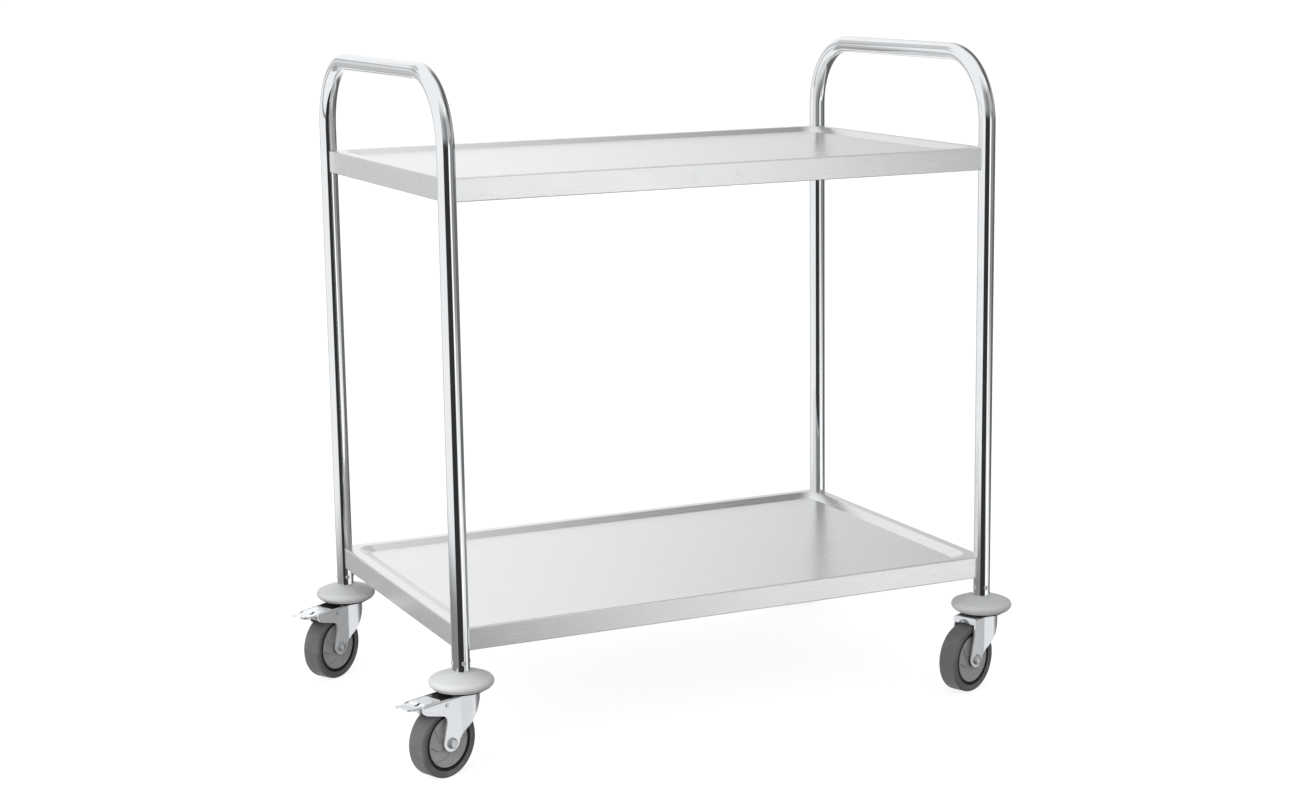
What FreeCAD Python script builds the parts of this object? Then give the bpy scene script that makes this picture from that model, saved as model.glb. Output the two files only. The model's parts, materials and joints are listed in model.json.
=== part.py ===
import FreeCAD, Part
import os
from math import acos, atan2, cos, hypot, pi, sin, sqrt

# Two-shelf serving trolley on four swivel casters, in millimetres.
# +X is the long way, +Y the back, +Z up. The floor is z = 0, and the origin is the
# middle of the whole trolley's outline on the floor, casters standing as modelled.

# ---- driving dimensions: end frames -------------------------------------------------
FRAME_LENGTH = 834.6        # between the two end frames' tube centre planes
FRAME_DEPTH = 511.7         # between the front and back leg axes
LEG_BOTTOM = 139.0          # height of the tubes' lower ends
HANDLE_HEIGHT = 947.0       # height of the handle bars' axis
TUBE_RADIUS = 12.5
TUBE_WALL = 1.2
BEND_RADIUS = 101.0

# ---- driving dimensions: shelves ----------------------------------------------------
SHELF_TOPS = {"upper": 811.5, "lower": 198.9}
SHELF_HEIGHT = 32.5         # depth of the folded edge
SHELF_OVERHANG = 3.1        # how far the folded edge stands outside the leg axes
SHELF_SHEET = 1.2
RIM_WIDTH = 15.0            # flat rim around the pressed floor
SLOPE_WIDTH = 18.5
FLOOR_DEPTH = 6.6           # floor below the rim
RIM_CORNER = 30.0
FLOOR_CORNER = 14.0
FOLD_RADIUS = 2.0
RETURN_LIP = 12.0           # inward fold along the bottom of the edge

RIB_LENGTH = 760.0
RIB_SPACING = 220.0
RIB_HEIGHT = 18.0
RIB_CROWN = 26.0
RIB_FLANGE = 12.0
RIB_SHEET = 1.0

# ---- driving dimensions: shelf fixings ----------------------------------------------
FIXING_DROP = 18.0          # shelf bolts below the rim
BOLT_RADIUS = 3.0
BOLT_HEAD_RADIUS = 5.2
BOLT_HEAD_HEIGHT = 3.3
INSERT_RADIUS = 4.2
FIXING_REACH = 3.0          # inner ends of bolt and insert, from the leg axis

# ---- driving dimensions: leg ends ---------------------------------------------------
PLUG_LENGTH = 28.0
RIVET_HEIGHT = 13.0
RIVET_RADIUS = 2.4
RIVET_HEAD_RADIUS = 3.3
RIVET_HEAD_STAND = 1.0
RIVET_REACH = 8.5
STEM_RADIUS = 6.0
STEM_RISE = 24.0            # threaded length inside the plug
FIT = 0.05                  # radial clearance of parts that turn or slide in

# ---- driving dimensions: casters, heights measured from the leg's lower end ---------
CROWN_TOP = -26.0
FORK_SHEET = 2.5
FORK_HALF_WIDTH = 20.0
FORK_HEAD_RADIUS = 24.5
FORK_CREASE = 20.0          # where the round head meets the flat legs
CROWN_REAR = 43.0
BRAKED_CROWN_REAR = 27.0
WHEEL_RADIUS = 50.0
WHEEL_HALF_WIDTH = 15.0
TRAIL = 39.0
AXLE_DROP = LEG_BOTTOM - WHEEL_RADIUS
TREAD_ROUNDING = 5.0
RING_OUTER = 40.0
RING_INNER = 36.7
RING_FACE = 13.4
COVER_DISH = 1.2
HUB_RADIUS = 12.0
SLEEVE_RADIUS = 6.5
AXLE_RADIUS = 4.0
AXLE_HEX = 13.0
AXLE_HEAD = 5.0
AXLE_FLANGE_RADIUS = 8.2
AXLE_FLANGE = 1.0
AXLE_NUT = 6.5

BUMPER_RADIUS = 45.0
BUMPER_DEPTH = 22.0
CUP_RADIUS = 33.5
CUP_TOP = -20.2
CUP_PLATE = 2.0
CUP_BOTTOM = -25.6
BALL_RADIUS = 2.5
BALL_CIRCLE = 14.0
BALL_COUNT = 14
STEM_HEAD_RADIUS = 12.0
STEM_HEAD_TOP = -28.8

# ---- driving dimensions: brakes -----------------------------------------------------
PEDAL_PIVOT = (46.5, -33.5)
PEDAL_HALF_WIDTH = 15.8
PEDAL_SHEET = 1.6
PEDAL_TOP = -25.3
PEDAL_START = 54.0
PEDAL_TIP = 113.0
PEDAL_PIN_RADIUS = 2.4
PEDAL_PIN_HEAD = 3.0
PEDAL_CORNER = 9.0
PEDAL_STEP = 1.4            # foot lip below the pedal's flat top
SHOE_SPAN = (60.0, 71.0)
SHOE_GAP = 4.3              # shoe clear of the tread with the pedal up

# Each caster's leg, by the signs of x and y, the way it trails, and whether it brakes.
CASTERS = {
    "front_left": (-1, -1, 203.3, True),
    "front_right": (1, -1, 202.9, False),
    "back_left": (-1, 1, 212.6, True),
    "back_right": (1, 1, 145.0, False),
}
LEGS = [(sx * FRAME_LENGTH / 2, sy * FRAME_DEPTH / 2) for sx, sy, turn, brake in CASTERS.values()]

UP = FreeCAD.Vector(0, 0, 1)
ALONG_X = FreeCAD.Vector(1, 0, 0)
ALONG_Y = FreeCAD.Vector(0, 1, 0)


def vec(x, y, z):
    return FreeCAD.Vector(x, y, z)


def rod(radius, length, start, direction=UP):
    """Round bar of a given length from a start point."""
    return Part.makeCylinder(radius, length, start, direction)


def block(low, high):
    """Box between two opposite corners."""
    size = [b - a for a, b in zip(low, high)]
    return Part.makeBox(*size, vec(*low))


def join(solids):
    """One solid from overlapping or touching ones."""
    return solids[0].multiFuse(solids[1:]).removeSplitter()


def turned(profile, axis=UP):
    """Solid of revolution from (radius, height) points; axis is Z or Y through the origin."""
    if axis is UP:
        points = [vec(r, 0, h) for r, h in profile]
    else:
        points = [vec(r, h, 0) for r, h in profile]
    face = Part.Face(Part.makePolygon(points + [points[0]]))
    return face.revolve(vec(0, 0, 0), axis, 360)


def side_plate(outline, half_width):
    """Solid from an (x, z) outline, spread evenly to both sides of y = 0."""
    points = [vec(x, -half_width, z) for x, z in outline]
    face = Part.Face(Part.makePolygon(points + [points[0]]))
    return face.extrude(vec(0, 2 * half_width, 0))


def edges_where(shape, test):
    return [edge for edge in shape.Edges if test(edge)]


# ---- end frames ---------------------------------------------------------------------
def frame_path(x):
    """Centre line of one end frame: up a leg, over the handle and down the other leg."""
    half = FRAME_DEPTH / 2
    shoulder = HANDLE_HEIGHT - BEND_RADIUS
    slant = BEND_RADIUS * sqrt(0.5)
    inner = half - BEND_RADIUS
    front_bend = Part.Arc(
        vec(x, -half, shoulder),
        vec(x, -inner - slant, shoulder + slant),
        vec(x, -inner, HANDLE_HEIGHT),
    )
    back_bend = Part.Arc(
        vec(x, inner, HANDLE_HEIGHT),
        vec(x, inner + slant, shoulder + slant),
        vec(x, half, shoulder),
    )
    return Part.Wire([
        Part.LineSegment(vec(x, -half, LEG_BOTTOM), vec(x, -half, shoulder)).toShape(),
        front_bend.toShape(),
        Part.LineSegment(vec(x, -inner, HANDLE_HEIGHT), vec(x, inner, HANDLE_HEIGHT)).toShape(),
        back_bend.toShape(),
        Part.LineSegment(vec(x, half, shoulder), vec(x, half, LEG_BOTTOM)).toShape(),
    ])


def swept(path, radius):
    start = path.Vertexes[0].Point
    ring = Part.Wire(Part.makeCircle(radius, start, UP))
    return path.makePipeShell([ring], True, True)


def end_frame(x):
    """One bent tube with its holes for the shelf inserts and the leg rivets."""
    path = frame_path(x)
    tube = swept(path, TUBE_RADIUS).cut(swept(path, TUBE_RADIUS - TUBE_WALL))
    holes = []
    for leg_x, leg_y in LEGS:
        if leg_x * x < 0:
            continue
        inward = corner_direction(leg_x, leg_y)
        for top in SHELF_TOPS.values():
            start = vec(leg_x, leg_y, top - FIXING_DROP)
            holes.append(rod(INSERT_RADIUS, TUBE_RADIUS + 2, start, inward))
        for direction in rivet_directions():
            start = vec(leg_x, leg_y, LEG_BOTTOM + RIVET_HEIGHT)
            holes.append(rod(RIVET_RADIUS, TUBE_RADIUS + 2, start, direction))
    return tube.cut(Part.makeCompound(holes))


def corner_direction(leg_x, leg_y):
    """Level direction from a leg towards the middle of the shelf, at 45 degrees."""
    return vec(-1 if leg_x > 0 else 1, -1 if leg_y > 0 else 1, 0).normalize()


def rivet_directions():
    return [vec(1, 0, 0), vec(-1, 0, 0), vec(0, 1, 0), vec(0, -1, 0)]


# ---- shelves ------------------------------------------------------------------------
def rounded_rectangle(half_x, half_y, radius, z):
    """Closed wire of a rectangle with round corners, at one height."""
    edges = []
    slant = radius * (1 - sqrt(0.5))
    corners = [(1, -1), (1, 1), (-1, 1), (-1, -1)]
    for index, (sx, sy) in enumerate(corners):
        along_y = vec(sx * half_x, sy * (half_y - radius), z)
        along_x = vec(sx * (half_x - radius), sy * half_y, z)
        middle = vec(sx * (half_x - slant), sy * (half_y - slant), z)
        first, last = (along_x, along_y) if sx * sy < 0 else (along_y, along_x)
        edges.append(Part.Arc(first, middle, last).toShape())
        nx, ny = corners[(index + 1) % 4]
        if nx == sx:
            follow = vec(nx * half_x, ny * (half_y - radius), z)
        else:
            follow = vec(nx * (half_x - radius), ny * half_y, z)
        edges.append(Part.LineSegment(last, follow).toShape())
    return Part.Wire(edges)


def pressed_well(half_x, half_y, top, thicken):
    """Space above the pressed floor, or with thicken, that space plus the sheet below it."""
    rim_x = half_x - RIM_WIDTH + thicken
    rim_y = half_y - RIM_WIDTH + thicken
    upper = rounded_rectangle(rim_x, rim_y, RIM_CORNER + thicken, top - thicken)
    floor_x = rim_x - SLOPE_WIDTH
    floor_y = rim_y - SLOPE_WIDTH
    floor = top - FLOOR_DEPTH - thicken
    lower = rounded_rectangle(floor_x, floor_y, FLOOR_CORNER + thicken, floor)
    return Part.makeLoft([lower, upper], True, True)


def leg_posts(radius, low, high):
    return [rod(radius, high - low, vec(x, y, low)) for x, y in LEGS]


def shelf(top):
    """Pressed sheet shelf: sunk floor, flat rim, folded edge and hollow corner seats."""
    half_x = FRAME_LENGTH / 2 + SHELF_OVERHANG
    half_y = FRAME_DEPTH / 2 + SHELF_OVERHANG
    bottom = top - SHELF_HEIGHT
    body = block((-half_x, -half_y, bottom), (half_x, half_y, top))
    rim_edges = edges_where(body, lambda e: min(v.Z for v in e.Vertexes) > top - 0.1)
    body = body.makeFillet(FOLD_RADIUS, rim_edges)
    notches = leg_posts(TUBE_RADIUS, bottom - 1, top + 1)
    body = body.cut(Part.makeCompound(notches))
    body = body.cut(pressed_well(half_x, half_y, top, 0))

    inner_x = half_x - SHELF_SHEET
    inner_y = half_y - SHELF_SHEET
    ceiling = top - SHELF_SHEET
    hollow = block((-inner_x, -inner_y, bottom + SHELF_SHEET), (inner_x, inner_y, ceiling))
    hollow = hollow.cut(pressed_well(half_x, half_y, top, SHELF_SHEET))
    seats = leg_posts(TUBE_RADIUS + SHELF_SHEET, bottom - 1, top + 1)
    hollow = hollow.cut(Part.makeCompound(seats))
    mouth_x = half_x - RETURN_LIP
    mouth_y = half_y - RETURN_LIP
    mouth = block((-mouth_x, -mouth_y, bottom - 1), (mouth_x, mouth_y, bottom + SHELF_SHEET))
    lips = leg_posts(TUBE_RADIUS + RETURN_LIP, bottom - 1, top + 1)
    mouth = mouth.cut(Part.makeCompound(lips))

    holes = []
    for leg_x, leg_y in LEGS:
        start = vec(leg_x, leg_y, top - FIXING_DROP)
        holes.append(rod(BOLT_RADIUS, TUBE_RADIUS + 5, start, corner_direction(leg_x, leg_y)))
    return body.cut(hollow).cut(mouth).cut(Part.makeCompound(holes))


def shelf_ribs(top):
    """Two hat-section stiffeners welded under the shelf floor."""
    ceiling = top - FLOOR_DEPTH - SHELF_SHEET
    crown = RIB_CROWN / 2
    foot = crown + RIB_FLANGE
    sheet = RIB_SHEET
    outline = [
        (-foot, 0), (-crown + sheet, 0), (-crown + sheet, -RIB_HEIGHT + sheet),
        (crown - sheet, -RIB_HEIGHT + sheet), (crown - sheet, 0), (foot, 0), (foot, -sheet),
        (crown, -sheet), (crown, -RIB_HEIGHT), (-crown, -RIB_HEIGHT), (-crown, -sheet),
        (-foot, -sheet),
    ]
    ribs = []
    for side in (-1, 1):
        middle = side * RIB_SPACING / 2
        points = [vec(-RIB_LENGTH / 2, middle + y, ceiling + z) for y, z in outline]
        face = Part.Face(Part.makePolygon(points + [points[0]]))
        ribs.append(face.extrude(vec(RIB_LENGTH, 0, 0)))
    return Part.makeCompound(ribs)


# ---- shelf fixings ------------------------------------------------------------------
def fixing_places():
    """Leg axis point and inward direction of every shelf bolt."""
    places = []
    for top in SHELF_TOPS.values():
        for leg_x, leg_y in LEGS:
            places.append((vec(leg_x, leg_y, top - FIXING_DROP), corner_direction(leg_x, leg_y)))
    return places


def shelf_bolts():
    bolts = []
    seat = TUBE_RADIUS + SHELF_SHEET
    for axis_point, inward in fixing_places():
        shank = rod(BOLT_RADIUS, seat - FIXING_REACH, axis_point + inward * FIXING_REACH, inward)
        head = rod(BOLT_HEAD_RADIUS, BOLT_HEAD_HEIGHT, axis_point + inward * seat, inward)
        seat_face = rod(seat, 2 * BOLT_HEAD_RADIUS, axis_point - UP * BOLT_HEAD_RADIUS)
        head_root = rod(BOLT_HEAD_RADIUS, 2, axis_point + inward * (seat - 2), inward)
        socket = Part.Face(hexagon(4.0, axis_point + inward * (seat + 1.3), inward))
        head = join([shank, head, head_root.cut(seat_face)])
        bolts.append(head.cut(socket.extrude(inward * BOLT_HEAD_HEIGHT)))
    return Part.makeCompound(bolts)


def shelf_inserts():
    """Threaded inserts set in the tube wall, one for each shelf bolt."""
    inserts = []
    for axis_point, inward in fixing_places():
        start = axis_point + inward * FIXING_REACH
        sleeve = rod(INSERT_RADIUS, TUBE_RADIUS, start, inward)
        sleeve = sleeve.common(rod(TUBE_RADIUS, 20, axis_point - UP * 10))
        inserts.append(sleeve.cut(rod(BOLT_RADIUS, 2 * TUBE_RADIUS, axis_point, inward)))
    return Part.makeCompound(inserts)


def hexagon(across_flats, centre, axis):
    """Closed hexagon wire square to an axis."""
    side = axis.cross(UP)
    if side.Length < 0.1:
        side = vec(1, 0, 0)
    side.normalize()
    other = axis.cross(side)
    reach = across_flats / sqrt(3)
    points = []
    for step in range(6):
        angle = step * pi / 3
        points.append(centre + side * (reach * cos(angle)) + other * (reach * sin(angle)))
    return Part.makePolygon(points + [points[0]])


# ---- leg ends -----------------------------------------------------------------------
def leg_plugs():
    """Threaded plugs held inside the legs' lower ends, one for each caster stem."""
    plugs = []
    for x, y in LEGS:
        foot = vec(x, y, LEG_BOTTOM)
        plug = rod(TUBE_RADIUS - TUBE_WALL, PLUG_LENGTH, foot)
        plug = plug.cut(rod(STEM_RADIUS, STEM_RISE + 1, foot))
        for direction in rivet_directions():
            start = foot + UP * RIVET_HEIGHT + direction * RIVET_REACH
            plug = plug.cut(rod(RIVET_RADIUS, TUBE_RADIUS, start, direction))
        plugs.append(plug)
    return Part.makeCompound(plugs)


def leg_rivets():
    """Four small domed rivets around each leg that hold its plug."""
    rivets = []
    for x, y in LEGS:
        level = vec(x, y, LEG_BOTTOM + RIVET_HEIGHT)
        tube = rod(TUBE_RADIUS, 4 * RIVET_RADIUS, level - UP * 2 * RIVET_RADIUS)
        for direction in rivet_directions():
            start = level + direction * RIVET_REACH
            shank = rod(RIVET_RADIUS, TUBE_RADIUS - RIVET_REACH, start, direction)
            seat = level + direction * (TUBE_RADIUS - 1)
            head = rod(RIVET_HEAD_RADIUS, 1 + RIVET_HEAD_STAND, seat, direction)
            top = TUBE_RADIUS + RIVET_HEAD_STAND
            rim = edges_where(head, lambda e: on_face(e, level, direction, top))
            head = head.makeFillet(RIVET_HEAD_STAND * 0.8, rim)
            rivets.append(join([shank, head.cut(tube)]))
    return Part.makeCompound(rivets)


def on_face(edge, origin, direction, distance):
    """True for a closed edge lying in the plane at a distance along a direction."""
    centre = edge.BoundBox.Center - origin
    return len(edge.Vertexes) == 1 and abs(centre.dot(direction) - distance) < 0.01


# ---- caster, fixed parts: stem axis is Z through the origin -------------------------
def caster_stem():
    """Threaded stem with the riveted head that carries the swivelling fork."""
    tail = STEM_HEAD_TOP - 3.0
    return turned([
        (0, STEM_RISE), (STEM_RADIUS - 1, STEM_RISE), (STEM_RADIUS, STEM_RISE - 1),
        (STEM_RADIUS, STEM_HEAD_TOP), (STEM_HEAD_RADIUS, STEM_HEAD_TOP),
        (STEM_HEAD_RADIUS, tail), (STEM_RADIUS + 2, tail), (STEM_RADIUS, tail - 1.6), (0, tail - 2),
    ])


def bumper():
    """Soft round buffer between the leg and the swivel head."""
    recess = CUP_RADIUS + 0.5
    neck = vec(TUBE_RADIUS + 1, 0, 0)
    shoulder = vec(BUMPER_RADIUS - 3.5, 0, -8.3)
    girth = vec(BUMPER_RADIUS, 0, -13.8)
    heel = vec(BUMPER_RADIUS - 3.3, 0, -20.0)
    hem = vec(BUMPER_RADIUS - 6.5, 0, -BUMPER_DEPTH)
    inside = [hem, vec(recess, 0, -BUMPER_DEPTH), vec(recess, 0, CUP_TOP),
              vec(STEM_RADIUS, 0, CUP_TOP), vec(STEM_RADIUS, 0, 0), neck]
    curves = [
        Part.Arc(neck, vec(27, 0, -2.9), shoulder).toShape(),
        Part.Arc(shoulder, girth, heel).toShape(),
        Part.Arc(heel, vec(BUMPER_RADIUS - 4.4, 0, -21.5), hem).toShape(),
    ]
    curves += [Part.LineSegment(a, b).toShape() for a, b in zip(inside, inside[1:])]
    return Part.Face(Part.Wire(curves)).revolve(vec(0, 0, 0), UP, 360)


def ball_height():
    return (CUP_TOP - CUP_PLATE + CROWN_TOP) / 2


def ball_groove():
    """Ring that the ball track leaves in the cup and in the fork crown."""
    return Part.makeTorus(BALL_CIRCLE, BALL_RADIUS + FIT, vec(0, 0, ball_height()), UP)


def race_cup():
    """Pressed cup with the upper ball track and a skirt that keeps dirt out."""
    skirt = CUP_RADIUS - CUP_PLATE
    cup = turned([
        (STEM_RADIUS, CUP_TOP), (CUP_RADIUS - 1, CUP_TOP), (CUP_RADIUS, CUP_TOP - 1),
        (CUP_RADIUS, CUP_BOTTOM), (skirt, CUP_BOTTOM), (skirt, CUP_TOP - CUP_PLATE),
        (STEM_RADIUS, CUP_TOP - CUP_PLATE),
    ])
    return cup.cut(ball_groove())


def swivel_balls():
    balls = []
    for step in range(BALL_COUNT):
        angle = 2 * pi * step / BALL_COUNT
        centre = vec(BALL_CIRCLE * cos(angle), BALL_CIRCLE * sin(angle), ball_height())
        balls.append(Part.makeSphere(BALL_RADIUS, centre))
    return Part.makeCompound(balls)


# ---- caster, swivelling parts: the wheel trails along +X ----------------------------
def fork_plan(inset, low, high, rear):
    """Horseshoe outline of the fork, round at the head and straight along the legs."""
    radius = FORK_HEAD_RADIUS - inset
    half = FORK_HALF_WIDTH - inset
    crease = FORK_CREASE - inset * 0.13
    reach = hypot(crease, half)
    touch = atan2(half, crease) + acos(radius / reach)
    left = vec(radius * cos(touch), radius * sin(touch), low)
    right = vec(left.x, -left.y, low)
    outline = Part.Wire([
        Part.LineSegment(vec(rear, half, low), vec(crease, half, low)).toShape(),
        Part.LineSegment(vec(crease, half, low), left).toShape(),
        Part.Arc(left, vec(-radius, 0, low), right).toShape(),
        Part.LineSegment(right, vec(crease, -half, low)).toShape(),
        Part.LineSegment(vec(crease, -half, low), vec(rear, -half, low)).toShape(),
        Part.LineSegment(vec(rear, -half, low), vec(rear, half, low)).toShape(),
    ])
    return Part.Face(outline).extrude(vec(0, 0, high - low))


def fork_side(braked):
    """Side view of the fork as a wide solid, used to trim the bent sheet."""
    front = [
        (-30, CROWN_TOP + 1), (-30, -35), (-21, -36.5), (-12, -42), (-4, -55), (6, -68), (16, -77),
    ]
    boss_front = (24.5, -87)
    boss_rear = (53.5, -87)
    if braked:
        rear = [
            (46.5, -59), (46.8, -54), (48.8, -49.8), (53, -47.4), (82, -40), (87, -37.5),
            (91.5, -31), (90.5, -27.5), (87, CROWN_TOP + 1),
        ]
    else:
        rear = [(46.5, -59), (CROWN_REAR, -36), (CROWN_REAR, CROWN_TOP + 1)]
    width = 2 * FORK_HEAD_RADIUS + 10
    points = [vec(x, -width / 2, z) for x, z in front + [boss_front]]
    edges = [Part.LineSegment(a, b).toShape() for a, b in zip(points, points[1:])]
    start = vec(boss_front[0], -width / 2, boss_front[1])
    end = vec(boss_rear[0], -width / 2, boss_rear[1])
    edges.append(Part.Arc(start, vec(TRAIL, -width / 2, -AXLE_DROP - 11.5), end).toShape())
    points = [vec(x, -width / 2, z) for x, z in [boss_rear] + rear + [front[0]]]
    edges += [Part.LineSegment(a, b).toShape() for a, b in zip(points, points[1:])]
    return Part.Face(Part.Wire(edges)).extrude(vec(0, width, 0))


def fork(braked):
    """Bent sheet fork: crown with the lower ball track, round front skirt and two legs."""
    rear = 100.0
    low = -AXLE_DROP - 20
    shell = fork_plan(0, low, CROWN_TOP, rear)
    rim = edges_where(
        shell, lambda e: e.BoundBox.ZMin > CROWN_TOP - 0.01 and e.BoundBox.XMin < rear - 1)
    shell = shell.makeFillet(FORK_SHEET, rim)
    shell = shell.cut(fork_plan(FORK_SHEET, low - 1, CROWN_TOP - FORK_SHEET, rear + 1))
    shell = shell.common(fork_side(braked))
    inner = FORK_HALF_WIDTH - FORK_SHEET
    if braked:
        window = block((BRAKED_CROWN_REAR, -inner, CROWN_TOP - 5), (rear, inner, CROWN_TOP + 1))
        shell = shell.cut(window)
    else:
        flap = block((CROWN_REAR - FORK_SHEET, -inner, -36), (CROWN_REAR, inner, CROWN_TOP - 1))
        arch = rod(11, 2 * FORK_SHEET, vec(CROWN_REAR - 2 * FORK_SHEET + 1, 0, -40), ALONG_X)
        shell = join([shell, flap.cut(arch)])
    shell = shell.cut(rod(STEM_RADIUS + FIT, 20, vec(0, 0, CROWN_TOP - 10)))
    shell = shell.cut(ball_groove())
    across = 2 * FORK_HEAD_RADIUS
    shell = shell.cut(rod(AXLE_RADIUS, across, vec(TRAIL, -across / 2, -AXLE_DROP), ALONG_Y))
    if braked:
        x, z = PEDAL_PIVOT
        shell = shell.cut(rod(PEDAL_PIN_RADIUS, across, vec(x, -across / 2, z), ALONG_Y))
    return shell


def at_axle(solid):
    """Moves a part made around Y through the origin out to the wheel's axle."""
    moved = solid.copy()
    moved.translate(vec(TRAIL, 0, -AXLE_DROP))
    return moved


def axle_bolt():
    outline = Part.Face(hexagon(AXLE_HEX, vec(0, FORK_HALF_WIDTH, 0), ALONG_Y))
    head = outline.extrude(ALONG_Y * AXLE_HEAD)
    end = FORK_HALF_WIDTH + AXLE_HEAD
    dome = turned([
        (0, FORK_HALF_WIDTH - 1), (AXLE_HEX, FORK_HALF_WIDTH - 1), (AXLE_HEX, end - 4.6),
        (AXLE_HEX / 2 + 0.3, end - 1.4), (AXLE_HEX / 2 - 1.2, end - 0.3), (0, end),
    ], ALONG_Y)
    flange = rod(AXLE_FLANGE_RADIUS, AXLE_FLANGE, vec(0, FORK_HALF_WIDTH, 0), ALONG_Y)
    tail = FORK_HALF_WIDTH + AXLE_NUT + 1.5
    shank = rod(AXLE_RADIUS, FORK_HALF_WIDTH + tail, vec(0, -tail, 0), ALONG_Y)
    return at_axle(join([head.common(dome), flange, shank]))


def axle_nut():
    start = -FORK_HALF_WIDTH - AXLE_NUT
    body = Part.Face(hexagon(AXLE_HEX, vec(0, start, 0), ALONG_Y)).extrude(ALONG_Y * AXLE_NUT)
    return at_axle(body.cut(rod(AXLE_RADIUS, 2 * AXLE_NUT, vec(0, start - 1, 0), ALONG_Y)))


def axle_sleeve():
    """Spacer tube clamped between the fork legs; the wheel runs on it."""
    half = FORK_HALF_WIDTH - FORK_SHEET
    tube = rod(SLEEVE_RADIUS, 2 * half, vec(0, -half, 0), ALONG_Y)
    return at_axle(tube.cut(rod(AXLE_RADIUS, 2 * half + 2, vec(0, -half - 1, 0), ALONG_Y)))


# ---- wheel --------------------------------------------------------------------------
def tyre():
    """Soft tyre moulded on the wheel body, with a rounded tread."""
    seat = RING_OUTER - 2
    shoulder = WHEEL_HALF_WIDTH - 1.2
    ring = turned([
        (seat, -RING_FACE + 1.5), (RING_OUTER, -RING_FACE), (RING_OUTER + 3, -shoulder),
        (WHEEL_RADIUS - TREAD_ROUNDING, -WHEEL_HALF_WIDTH), (WHEEL_RADIUS, -WHEEL_HALF_WIDTH),
        (WHEEL_RADIUS, WHEEL_HALF_WIDTH), (WHEEL_RADIUS - TREAD_ROUNDING, WHEEL_HALF_WIDTH),
        (RING_OUTER + 3, shoulder), (RING_OUTER, RING_FACE), (seat, RING_FACE - 1.5),
    ], ALONG_Y)
    tread = edges_where(
        ring, lambda e: e.BoundBox.XMax > WHEEL_RADIUS - 0.1 and len(e.Vertexes) == 1)
    return at_axle(ring.makeFillet(TREAD_ROUNDING - 0.5, tread))


def wheel_body():
    """Moulded wheel body: rim under the tyre, web, and a hub bored for the sleeve."""
    seat = RING_OUTER - 2
    web = 4.0
    pocket = RING_INNER - 1.5
    ledge = RING_FACE - COVER_DISH - 2.0
    half_hub = WHEEL_HALF_WIDTH + 1.5
    bore = SLEEVE_RADIUS + FIT
    right = [
        (bore, half_hub), (HUB_RADIUS - 2, half_hub), (HUB_RADIUS, web), (pocket, web),
        (pocket, ledge), (RING_INNER, ledge), (RING_INNER, RING_FACE), (RING_OUTER, RING_FACE),
        (seat, RING_FACE - 1.5),
    ]
    left = [(r, -y) for r, y in reversed(right)]
    return at_axle(turned(right + left, ALONG_Y))


def dust_covers():
    """Two dished discs snapped into the wheel faces, open around the hub."""
    covers = []
    eye = HUB_RADIUS - 0.5
    sheet = 1.4
    face = RING_FACE - COVER_DISH
    for side in (-1, 1):
        outline = [
            (RING_INNER, face - 2.0), (RING_INNER, face + 0.6), (RING_INNER - 4, face + 0.6),
            (RING_INNER - 16, face + 0.2), (eye + 3, face + 1.2), (eye, face + 1.0),
            (eye, face + 1.0 - sheet), (RING_INNER - 16, face + 0.2 - sheet),
            (RING_INNER - 1.5, face + 0.6 - sheet), (RING_INNER - 1.5, face - 2.0),
        ]
        covers.append(turned([(r, side * y) for r, y in outline], ALONG_Y))
    return at_axle(Part.makeCompound(covers))


# ---- brake --------------------------------------------------------------------------
def foot_plan(inset):
    """Tall solid with the pedal's plan: straight sides and a round-cornered tip."""
    half = PEDAL_HALF_WIDTH - inset
    tip = PEDAL_TIP - inset
    solid = block((PEDAL_PIVOT[0] - 8, -half, -60), (tip, half, 0))
    corners = edges_where(
        solid, lambda e: e.BoundBox.XMin > tip - 0.1 and e.BoundBox.ZLength > 10)
    return solid.makeFillet(PEDAL_CORNER - inset, corners)


def brake_pedal():
    """Pressed pedal: flat top, stepped foot lip and two side cheeks around the pivot pin."""
    x, z = PEDAL_PIVOT
    lip = PEDAL_TOP - PEDAL_STEP
    body = side_plate([
        (x - 5.5, z - 1), (x - 5.5, z + 3), (PEDAL_START, PEDAL_TOP), (84, PEDAL_TOP),
        (86.5, lip), (98, lip), (PEDAL_TIP, PEDAL_TOP + 1.2), (PEDAL_TIP, lip), (101, -30),
        (86, -36.5), (70, -38.2), (x + 3.5, z - 4.6), (x - 3, z - 4.6),
    ], PEDAL_HALF_WIDTH)
    cavity = side_plate([
        (x - 8, z - 8), (x - 8, PEDAL_TOP - PEDAL_SHEET), (83.4, PEDAL_TOP - PEDAL_SHEET),
        (85.9, lip - PEDAL_SHEET), (98, lip - PEDAL_SHEET), (104, -29), (96, -45),
    ], PEDAL_HALF_WIDTH)
    body = body.common(foot_plan(0)).cut(cavity.common(foot_plan(PEDAL_SHEET)))
    across = 2 * PEDAL_HALF_WIDTH + 2
    return body.cut(rod(PEDAL_PIN_RADIUS + FIT, across, vec(x, -across / 2, z), ALONG_Y))


def brake_shoe():
    """Block under the pedal, hollowed to the tread's curve."""
    low, high = SHOE_SPAN
    half = PEDAL_HALF_WIDTH - PEDAL_SHEET - 2
    body = block((low, -half, -60), (high, half, PEDAL_TOP - PEDAL_SHEET))
    tread = rod(WHEEL_RADIUS + SHOE_GAP, 4 * half, vec(TRAIL, -2 * half, -AXLE_DROP), ALONG_Y)
    return body.cut(tread)


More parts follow.
